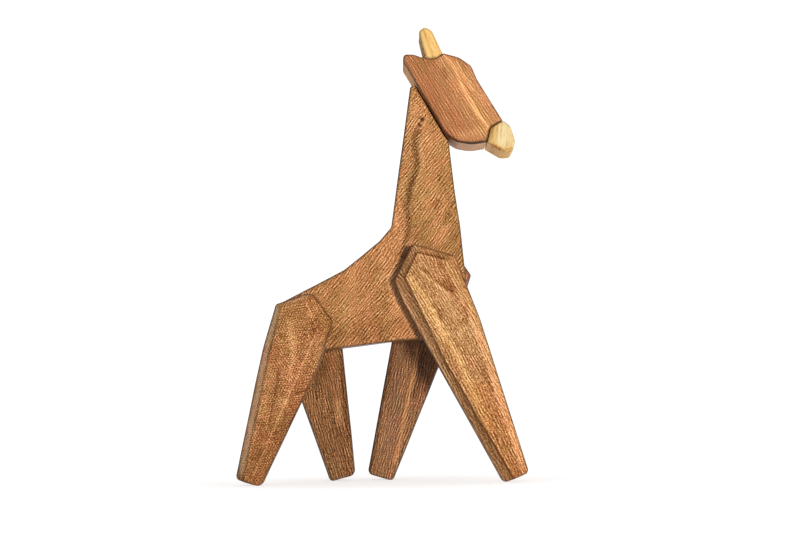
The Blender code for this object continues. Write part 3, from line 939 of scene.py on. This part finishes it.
FINISHES = {
    "body": walnut(
        "walnut_body", angle=50.0, figure=97.0, lean=4.0, seed=1.0, light=(2.42, 2.46, 2.75),
        shades=((130, 82, 40), (162, 109, 63), (184, 129, 81), (203, 146, 98), (225, 167, 118)),
        knots=((22.4, 179.5, 1.9, 1.0), (21.0, 176.9, 1.5, 1.0)),
    ),
    "head": walnut(
        "walnut_head", angle=-57.0, seed=2.0, light=(3.1, 3.25, 3.3),
        shades=((162, 102, 57), (183, 122, 75), (201, 138, 89), (222, 156, 105), (244, 179, 124)),
        pores=0.9, length=13.0, fine=0.28, mid=0.5, warp=1.2, dash=0.18, grit=1.15,
    ),
    "front_right": walnut(
        "walnut_front_right", angle=-61.0, lean=7.0, seed=3.0, light=(2.86, 3.0, 3.13),
        shades=((149, 95, 47), (174, 118, 69), (195, 139, 89), (219, 161, 109), (242, 184, 131)),
        length=6.0, warp=2.5,
    ),
    "rear_right": walnut(
        "walnut_rear_right", angle=66.0, lean=60.0, seed=4.0, light=(2.78, 2.9, 3.35),
        shades=((131, 77, 33), (156, 100, 55), (178, 121, 75), (200, 141, 92), (225, 164, 115)),
        fine=0.32, grit=1.5,
    ),
    # the left legs' shades are partly painted shade: darker than the right legs', as the far side is
    # seen in shade
    "front_left": walnut(
        "walnut_front_left", angle=74.0, lean=7.0, seed=5.0, light=(2.75, 2.95, 3.3),
        shades=((90, 61, 36), (126, 85, 55), (143, 100, 68), (162, 115, 81), (188, 136, 99)),
        length=6.0,
    ),
    "rear_left": walnut(
        "walnut_rear_left", angle=-76.0, lean=2.0, seed=6.0, light=(2.35, 2.55, 2.95),
        shades=((86, 53, 24), (119, 78, 45), (143, 98, 63), (165, 117, 80), (188, 137, 98)),
        length=10.0,
    ),
    "muzzle": ash(
        "ash_muzzle", angle=80.0, seed=1.0, edge=0.15, light=dimmed(0.91),
        shades=((217, 170, 100), (234, 198, 136), (245, 215, 160), (250, 226, 174), (253, 234, 184)),
    ),
    "horn_right": ash("ash_horn", -68.0, HORN_SHADES, dimmed(0.8), seed=2.0, edge=0.15),
    # painted light: the far horn is given a paler colour, against the near horn's shadow
    "horn_left": ash("ash_horn_left", -68.0, HORN_SHADES, dimmed(0.72), seed=3.0, edge=0.1),
    "magnet": nickel("magnet_nickel"),
    "dowel": beech("beech_dowel", angle=-15.0),
}

# ---------------------------------------------------------------- painted figure, shade and highlights in the wood
# Each figure holds layers of strokes: (polyline of (x, z), half width, strength). The legs'
# strokes are drawn about their hips, as their outlines are.
BODY_BAND = (
    (9.7, 173.3), (8.6, 166.7), (9.5, 159.5), (8.8, 153.8), (6.5, 146.6), (4.7, 139.5),
    (4.2, 133.8), (4.8, 125.2), (3.6, 119.5), (1.3, 111.2),
)
BODY_FIGURE = dict(
    dark=(
        (BODY_BAND, 1.6, 0.85),
        (((20.8, 150.9), (20.3, 148.9)), 1.0, 0.7),
        (((19.4, 138.4), (17.9, 135.9)), 1.5, 0.5),
        (((25.0, 131.8), (22.9, 128.3)), 1.9, 0.45),
        (((1.3, 111.2), (-1.0, 98.0), (-6.0, 86.0)), 4.0, 0.3),
        (((-46.0, 71.0), (-20.0, 73.0), (2.0, 77.0)), 7.0, 0.4),
    ),
    grey=((BODY_BAND, 2.2, 0.6),),
    light=(
        (((11.5, 164.7), (12.4, 156.6), (10.2, 150.9), (7.8, 143.1)), 1.0, 0.4),
        (((10.0, 186.0), (14.5, 172.0)), 6.0, 0.28),
        # painted light over the shadow that the near front leg casts on the body
        (((5.0, 117.5), (-4.8, 99.0), (-1.2, 88.0), (6.0, 76.0)), 1.9, 0.6),
    ),
)
HEAD_FIGURE = dict(
    light=(
        (((24.3, 211.0), (29.2, 204.1), (32.6, 195.3), (36.0, 187.3), (40.9, 180.1),
          (45.7, 174.3)), 0.8, 0.8),
        (((32.0, 196.8), (36.1, 190.2), (40.2, 181.5), (42.9, 177.2)), 0.6, 0.8),
        (((30.0, 207.7), (32.8, 201.9), (37.6, 193.8)), 0.7, 0.6),
        (((37.0, 203.0), (40.5, 195.0), (50.5, 179.0)), 3.0, 0.3),
        (((33.0, 171.5), (43.0, 172.5)), 2.5, 0.35),
    ),
    gold=((((26.8, 209.8), (34.5, 194.4), (44.1, 176.1)), 3.2, 0.45),),
    # painted reflection: paler, creamier sawn undersides of the jaw and the ear
    cream=(
        (((24.0, 170.0), (34.0, 166.0), (44.5, 166.6)), 3.0, 0.38),
        (((3.2, 204.6), (11.0, 190.6)), 2.7, 0.85),
    ),
    dark=(
        (((12.2, 206.5), (18.4, 193.4), (23.9, 183.2), (30.1, 174.5)), 4.5, 0.3),
        (((23.5, 204.2), (24.9, 200.5)), 1.0, 0.6),
        # painted shade above the seam, where the head turns down to the muzzle
        (((44.5, 184.3), (48.7, 179.9)), 2.0, 0.35),
        # painted shade at the left end of the jaw, beside the neck
        (((24.0, 171.0), (27.6, 167.6)), 1.6, 1.2),
    ),
    # painted shadow: a dark line along the jaw's lower edge
    shadow_line=(
        (((24.6, 170.6), (27.2, 168.3), (30.6, 167.1), (37.0, 166.4), (44.3, 167.3)), 1.0, 1.1),
    ),
)
MUZZLE_FIGURE = dict(
    # painted shade and light: gold strokes darken the muzzle's facets beside the seam and along its
    # underside, and lighten the sawn sides under them
    gold=(
        (((47.6, 174.4), (45.9, 168.0)), 1.7, 1.3),
        (((46.0, 165.8), (52.6, 162.6), (55.2, 162.6)), 1.7, 1.3),
    ),
    dark=((((46.9, 165.6), (53.0, 162.9), (57.0, 164.4)), 0.6, 0.8),),
)

# painted lines along the planed ridges: a painted highlight on the ridge, painted shade just down
# the facet
RIDGE_SHADE, RIDGE_HIGHLIGHT = dict(offset=0.75, width=0.55), dict(offset=-0.1, width=0.35)


def ridge_strokes(facets, strength, offset, width):
    strokes = []
    for facet in facets:
        start, end, side = straight(*facet[:2])
        strokes.append(((start + side * offset, end + side * offset), width, strength))
    return strokes


FRONT_RIGHT_STREAK = (
    (-12.2, 10.5), (-10.0, 0.6), (-9.4, -11.4), (-8.8, -22.3), (-6.8, -33.6), (-6.9, -43.3),
    (-7.2, -56.9), (-6.9, -70.7),
)
FRONT_LEFT_STRIPE = (
    (-4.6, -30.5), (-2.6, -40.5), (-1.8, -52.5), (-1.1, -64.4), (0.2, -78.0), (0.5, -88.3),
)
LEG_FIGURES = {
    "front_right": dict(
        dark=(
            *ridge_strokes(FRONT_FACETS[:4], 1.25, **RIDGE_SHADE),
            # painted shade on the left facet
            (((-17.0, 12.0), (-15.6, -20.0), (-8.8, -90.0)), 2.2, 0.15),
            (((-5.5, 13.4), (-2.8, 7.5), (0.4, 1.4), (3.3, -2.8)), 0.7, 0.9),
            (((2.6, 1.9), (3.9, -2.4)), 2.2, 0.6),
            (((3.8, 14.2), (4.1, 11.4)), 1.8, 0.4),
            (((-7.7, -5.1), (-6.8, -8.4), (-7.3, -13.5)), 0.6, 0.9),
            (((5.7, -12.2), (5.2, -15.7), (3.2, -18.5)), 1.3, 0.6),
            (((-8.3, -22.5), (-10.4, -30.1)), 1.4, 0.45),
            (((1.7, -42.7), (2.0, -49.6), (0.9, -56.1)), 1.2, 0.5),
            (((-4.0, -62.0), (-5.0, -95.0)), 4.5, 0.25),
        ),
        light=(
            *ridge_strokes(FRONT_FACETS[:4], 0.6, **RIDGE_HIGHLIGHT),
            *ridge_strokes(FRONT_FACETS[4:], 0.7, **RIDGE_HIGHLIGHT),
            (FRONT_RIGHT_STREAK, 1.6, 0.5),
            (((-6.7, 12.7), (-4.0, 6.7), (-1.0, 0.4), (1.6, -4.0)), 0.7, 0.6),
            (((-7.7, -6.3), (-8.3, -10.9), (-8.3, -14.6)), 0.7, 0.6),
            (((7.7, 10.9), (8.4, -20.0), (1.6, -92.0)), 1.8, 0.45),
            # a painted highlight along the outer edge of the left facet
            (((-19.6, 11.0), (-19.4, 1.5), (-11.6, -92.0)), 0.5, 0.8),
        ),
        gold=(
            (FRONT_RIGHT_STREAK, 2.2, 0.5),
            (((8.5, 10.0), (8.4, -20.0), (1.6, -92.0)), 2.0, 0.2),
            (((-3.0, -52.0), (-5.0, -95.0)), 5.0, 0.6),
        ),
    ),
    "rear_right": dict(
        dark=(
            *ridge_strokes(REAR_FACETS[:3], 0.7, **RIDGE_SHADE),
            (((10.4, 1.2), (12.6, -2.7)), 1.9, 0.55),
            (((1.1, -26.8), (2.6, -40.9), (3.8, -52.6)), 0.5, 0.8),
            (((11.8, -34.7), (15.0, -32.5), (17.4, -29.0)), 0.5, 0.6),
            (((7.4, -56.0), (11.3, -52.4), (14.6, -46.4)), 0.5, 0.6),
            (((15.5, -8.9), (17.6, -5.8), (18.4, -2.0)), 0.5, 0.5),
            (((13.4, -46.0), (6.6, -80.0)), 4.0, 0.45),
            (((14.5, -24.0), (11.8, -44.0)), 3.6, 0.42),
            (((2.5, -58.0), (1.0, -80.0)), 4.5, 0.3),
        ),
        light=(
            *ridge_strokes(REAR_FACETS[3:], 0.8, **RIDGE_HIGHLIGHT),
            (((-0.9, -1.8), (5.5, -18.3), (7.4, -32.4), (7.9, -40.9)), 1.6, 0.5),
            (((12.4, -35.8), (15.8, -33.5), (18.2, -30.0)), 0.5, 0.6),
            # painted sheen on the left and upper left facets
            (((-8.6, 2.0), (-8.0, -18.0), (-2.2, -78.0)), 1.9, 1.4),
            (((-6.9, 4.4), (3.0, 11.4)), 1.4, 0.9),
        ),
        # painted sheen on the left facet, greyer
        grey=((((-8.8, 2.0), (-8.0, -18.0), (-2.4, -78.0)), 1.9, 1.0),),
    ),
    "front_left": dict(
        light=((FRONT_LEFT_STRIPE, 0.9, 0.9),),
        gold=((FRONT_LEFT_STRIPE, 1.3, 0.6),),
        dark=((((-0.9, -31.3), (0.9, -43.9), (0.7, -54.0)), 1.4, 0.7),),
        grey=((((-12.5, -33.7), (-7.5, -58.5), (-4.5, -83.6)), 2.5, 0.5),),
    ),
    "rear_left": dict(
        light=((((9.0, -44.6), (7.2, -55.5)), 1.6, 0.7),),
        dark=(
            (((16.5, -22.1), (12.6, -45.4), (9.4, -65.3)), 0.7, 0.7),
            (((6.8, -23.2), (-0.9, -36.8)), 3.0, 0.4),
        ),
    ),
}

# ---------------------------------------------------------------- joints between the pieces
CUT_WAY = (math.cos(math.radians(NECK_CUT_ANGLE)), 0.0, math.sin(math.radians(NECK_CUT_ANGLE)))

seam_low, seam_bend, seam_across = straight(HEAD_JAW[-1][:2], HEAD_SEAM[0][:2])
SEAM_MOUTH = spot((seam_low + seam_bend) / 2 + seam_across * (GAP / 2))
SEAM_WAY = spot(seam_across)

horn_foot = ((HORN_FOOT[0][0] + HORN_FOOT[-1][0]) / 2, HORN_FOOT[1][1] + HORN_BORE_RISE)
HORN_WAY = spot(unit(np.array(HORN_TIP[1][:2]) - np.array(horn_foot)))


def horn_centre(side):
    return side * HORN_SPACING / 2


# ---------------------------------------------------------------- body, head, muzzle, horns
def build_body():
    back, front = on_cut(NECK_CUT_UP), on_cut(-NECK_CUT_DOWN)
    ring = rounded([
        (*back, 0.6), BODY_TOP_CORNER, *BODY_BACK, *BODY_RUMP, *BODY_BELLY, *BODY_CHEST,
        (*front, 0.8),
    ])
    half = BODY_THICKNESS / 2
    mesh = board_mesh("body_board", ring, flat_face(half, 11), flat_face(half, 12),
                      BODY_EASE, lie=upright, levels=9)
    mouths = [
        (spot(hip, side * half), (0, side, 0), MAGNET_BORE)
        for hip in (FRONT_HIP, REAR_HIP) for side in (-1, 1)
    ]
    mouths.append((spot(on_cut(0.0)), CUT_WAY, MAGNET_BORE))
    make_piece("body_board", mesh, "body", "body", FINISHES["body"], mouths,
               BODY_FIGURE)


def build_head():
    ear, jaw = on_cut(HEAD_SOLE_UP, GAP), on_cut(-HEAD_SOLE_DOWN, GAP)
    ring = rounded([
        (*jaw, 2.6), *HEAD_JAW, *HEAD_SEAM, *HEAD_BROW, HEAD_SADDLE, *HEAD_EAR, (*ear, 1.4),
    ])
    half = HEAD_THICKNESS / 2
    mesh = board_mesh("head_block", ring, flat_face(half, 21), flat_face(half, 22),
                      HEAD_EASE, lie=upright, levels=12)
    mouths = [
        (spot(on_cut(0.0, GAP)), reverse(CUT_WAY), MAGNET_BORE),
        (SEAM_MOUTH, SEAM_WAY, MUZZLE_DOWEL_BORE),
    ]
    for side in (-1, 1):
        mouths.append((spot(horn_foot, horn_centre(side)), HORN_WAY, HORN_DOWEL_BORE))
    make_piece("head_block", mesh, "head", "head", FINISHES["head"], mouths,
               HEAD_FIGURE)


def build_muzzle():
    seam = [
        (x + SEAM_SHIFT[0], z + SEAM_SHIFT[1], radius)
        for x, z, radius in (HEAD_JAW[-1], *HEAD_SEAM)
    ]
    ring = rounded([*seam, *MUZZLE_NOSE])
    face = planed(MUZZLE_THICKNESS / 2, MUZZLE_FACETS, seed=5, softness=0.1, wobble=0.05)
    mesh = board_mesh("muzzle_block", ring, face, face, MUZZLE_EASE, lie=upright, levels=12,
                      ridges=MUZZLE_FACETS)
    mouths = [(SEAM_MOUTH, reverse(SEAM_WAY), MUZZLE_DOWEL_BORE)]
    make_piece("muzzle_block", mesh, "head", "muzzle", FINISHES["muzzle"], mouths,
               MUZZLE_FIGURE, sharp_angle=44.0)


def build_horn(which, side):
    centre = horn_centre(side)

    def stand(point):
        return upright((point[0], point[1] + centre, point[2]))

    face = flat_face(HORN_THICKNESS / 2, 40 + side)
    mesh = board_mesh(f"horn_{which}", rounded([*HORN_TIP, *HORN_FOOT]), face, face,
                      HORN_EASE, lie=stand, levels=8)
    mouths = [(spot(horn_foot, centre), reverse(HORN_WAY), HORN_DOWEL_BORE)]
    make_piece(f"horn_{which}", mesh, "head", f"ossicone_{which}",
               FINISHES[f"horn_{which}"], mouths, figure={})


# ---------------------------------------------------------------- legs
def standing_angle(ring, hip_height, guess):
    """The swing nearest the guess at which the foot just reaches the floor."""
    def lowest(degrees):
        turn = math.radians(degrees)
        return hip_height + (ring[:, 0] * math.sin(turn) + ring[:, 1] * math.cos(turn)).min()

    low, high = guess - 3.0, guess + 3.0
    rising = lowest(high) > lowest(low)
    for _ in range(50):
        middle = (low + high) / 2
        if (lowest(middle) > 0) == rising:
            high = middle
        else:
            low = middle
    return (low + high) / 2


def build_leg(which, outline, corners, facets, hip, swing, side, seed):
    turn = math.radians(standing_angle(rounded(corners), hip[1], swing))
    cos, sin = math.cos(turn), math.sin(turn)
    half = LEG_THICKNESS / 2
    inner_y = BODY_THICKNESS / 2 + GAP
    centre = side * (inner_y + half)

    def stand(point):
        x = point[0] * cos - point[2] * sin + hip[0]
        z = point[0] * sin + point[2] * cos + hip[1]
        return upright((x, centre - side * point[1], z))

    def hang(points):
        x, z = points[:, 0] - DATUM_X - hip[0], points[:, 2] - hip[1]
        return np.column_stack([x * cos + z * sin, z * cos - x * sin])

    outer = planed(half, facets, seed)
    inner = planed(half, rim(corners), seed + 20)
    mesh = board_mesh(f"leg_{which}", rounded(outline), outer, inner, LEG_EASE, lie=stand,
                      levels=8, ridges=facets)
    mouths = [(spot(hip, side * inner_y), (0, -side, 0), MAGNET_BORE)]
    make_piece(f"leg_{which}", mesh, f"{which}_leg", f"{which}_leg",
               FINISHES[which], mouths, LEG_FIGURES[which], to_drawing=hang)


def finish_hidden_pieces():
    """The magnets and dowels keep their CAD shape."""
    for name, node in frame["nodes"].items():
        if name.endswith("magnet"):
            finish = FINISHES["magnet"]
        elif "dowel" in name:
            finish = FINISHES["dowel"]
        else:
            continue
        node.data.materials.clear()
        node.data.materials.append(finish)


# ---------------------------------------------------------------- floor, light and camera
FLOOR_HALF = 6.0        # m
LAMP_AIM = (0.0, 0.0, 0.11)
# (name, place, (width, height), watts, colour), in metres; the key is on the animal's
# right and the other two on its left
LAMPS = (
    ("key", (0.56, -1.23, 0.10), (0.26, 0.30), 46.0, (1.0, 0.99, 0.97)),
    ("back_fill", (-0.45, 0.9, 1.1), (0.7, 0.7), 24.0, (1, 1, 1)),
    ("back_key", (0.0, 1.3, 0.24), (0.35, 0.35), 26.0, (1, 1, 1)),
)
SEEN_STRENGTH = 1.1                         # of the white behind the animal
ROOM_LEVEL, ROOM_OVERHEAD = 0.36, 0.30      # room light from the sides and from above
CAMERA_OFF, CAMERA_HEIGHT = 715.0, 46.0     # mm
CAMERA_UP, CAMERA_ROLL = 4.857, 0.86        # degrees
FOCAL, SENSOR = 64.43, 36.0                 # mm


def build_floor():
    """A white floor that glows, with a painted shadow: it glows a little less under the animal."""
    mesh = bpy.data.meshes.new("floor")
    bm = bmesh.new()
    bmesh.ops.create_grid(bm, x_segments=4, y_segments=4, size=FLOOR_HALF)
    bm.to_mesh(mesh)
    bm.free()
    made = bpy.data.objects.new("floor", mesh)
    bpy.context.scene.collection.objects.link(made)
    white = Finish("floor_white")
    cloud = white.noise(white.scaled(white.place(), 3.0), detail=1.0)
    white.shader.inputs["Emission Color"].default_value = (1.0, 1.0, 1.0, 1.0)
    # painted shadow: the glow drops in a soft pool under the animal
    reach = white.vector("LENGTH", white.vector("MULTIPLY", white.place(), (0.5, 1.0, 1.0)))
    glow = white.span(reach, low=0.015, high=0.085, to_low=0.66, to_high=0.82)
    white.feed(white.shader.inputs["Emission Strength"], glow)
    colour = white.ramp(cloud, ((0.3, (0.88, 0.88, 0.88)), (0.7, (0.90, 0.90, 0.90))))
    mesh.materials.append(white.done(colour, 0.8, cloud, bump=0.0, specular=0.05))
    return made


def build_world():
    """Plain white to the camera; a dimmer room, darker overhead, to everything else."""
    world = bpy.data.worlds.new("white_studio")
    bpy.context.scene.world = world
    world.use_nodes = True
    nodes, link = world.node_tree.nodes, world.node_tree.links.new
    nodes.clear()
    output = nodes.new("ShaderNodeOutputWorld")
    seen, room = nodes.new("ShaderNodeBackground"), nodes.new("ShaderNodeBackground")
    for background in (seen, room):
        background.inputs["Color"].default_value = (1, 1, 1, 1)
    seen.inputs["Strength"].default_value = SEEN_STRENGTH
    way, apart = nodes.new("ShaderNodeTexCoord"), nodes.new("ShaderNodeSeparateXYZ")
    fall = nodes.new("ShaderNodeMapRange")
    link(way.outputs["Generated"], apart.inputs[0])
    link(apart.outputs["Z"], fall.inputs[0])
    for socket, value in zip(fall.inputs[1:5], (0.0, 1.0, ROOM_LEVEL, ROOM_OVERHEAD)):
        socket.default_value = value
    link(fall.outputs[0], room.inputs["Strength"])
    mixer, path = nodes.new("ShaderNodeMixShader"), nodes.new("ShaderNodeLightPath")
    link(path.outputs["Is Camera Ray"], mixer.inputs[0])
    link(room.outputs[0], mixer.inputs[1])
    link(seen.outputs[0], mixer.inputs[2])
    link(mixer.outputs[0], output.inputs[0])


def softbox(name, place, size, watts, colour):
    data = bpy.data.lights.new(name, "AREA")
    data.shape = "RECTANGLE"
    data.size, data.size_y = size
    data.energy = watts
    data.color = colour
    made = bpy.data.objects.new(name, data)
    made.location = place
    made.rotation_mode = "QUATERNION"
    made.rotation_quaternion = (Vector(LAMP_AIM) - Vector(place)).to_track_quat("-Z", "Y")
    made.visible_glossy = False
    bpy.context.scene.collection.objects.link(made)
    return made


def build_lamps(floor):
    """The lamps light the animal only: the floor keeps just the room light's soft shade and its
    painted shadow under it.
    """
    lamps = [softbox(*row) for row in LAMPS]
    lit_pieces = bpy.data.collections.new("lit_from_behind")
    for made in bpy.context.scene.objects:
        if made.type == "MESH" and made is not floor:
            lit_pieces.objects.link(made)
    for lamp in lamps:
        lamp.light_linking.receiver_collection = lit_pieces


def build_camera():
    """Looks along +Y from the animal's right, tipped up and rolled a little."""
    pitch, roll = math.radians(CAMERA_UP), math.radians(CAMERA_ROLL)
    forward = Vector((0.0, math.cos(pitch), math.sin(pitch)))
    right = Vector((1.0, 0.0, 0.0))
    up = right.cross(forward)
    across = right * math.cos(roll) - up * math.sin(roll)
    above = up * math.cos(roll) + right * math.sin(roll)
    data = bpy.data.cameras.new("camera")
    data.sensor_width = SENSOR
    data.sensor_fit = "HORIZONTAL"
    data.lens = FOCAL
    data.clip_start, data.clip_end = 0.01, 50.0
    camera = bpy.data.objects.new("camera", data)
    turn = Matrix((across, above, -forward)).transposed().to_4x4()
    place = (DATUM_X * MM, -CAMERA_OFF * MM, CAMERA_HEIGHT * MM)
    camera.matrix_world = Matrix.Translation(place) @ turn
    bpy.context.scene.collection.objects.link(camera)
    bpy.context.scene.camera = camera
    bpy.context.scene.view_settings.view_transform = "Standard"
    bpy.context.scene.view_settings.look = "None"


# ---------------------------------------------------------------- the whole scene
build_body()
build_head()
build_muzzle()
build_horn("right", -1)
build_horn("left", 1)
for leg in LEGS:
    build_leg(*leg)
finish_hidden_pieces()
build_lamps_floor = build_floor()
build_world()
build_lamps(build_lamps_floor)
build_camera()
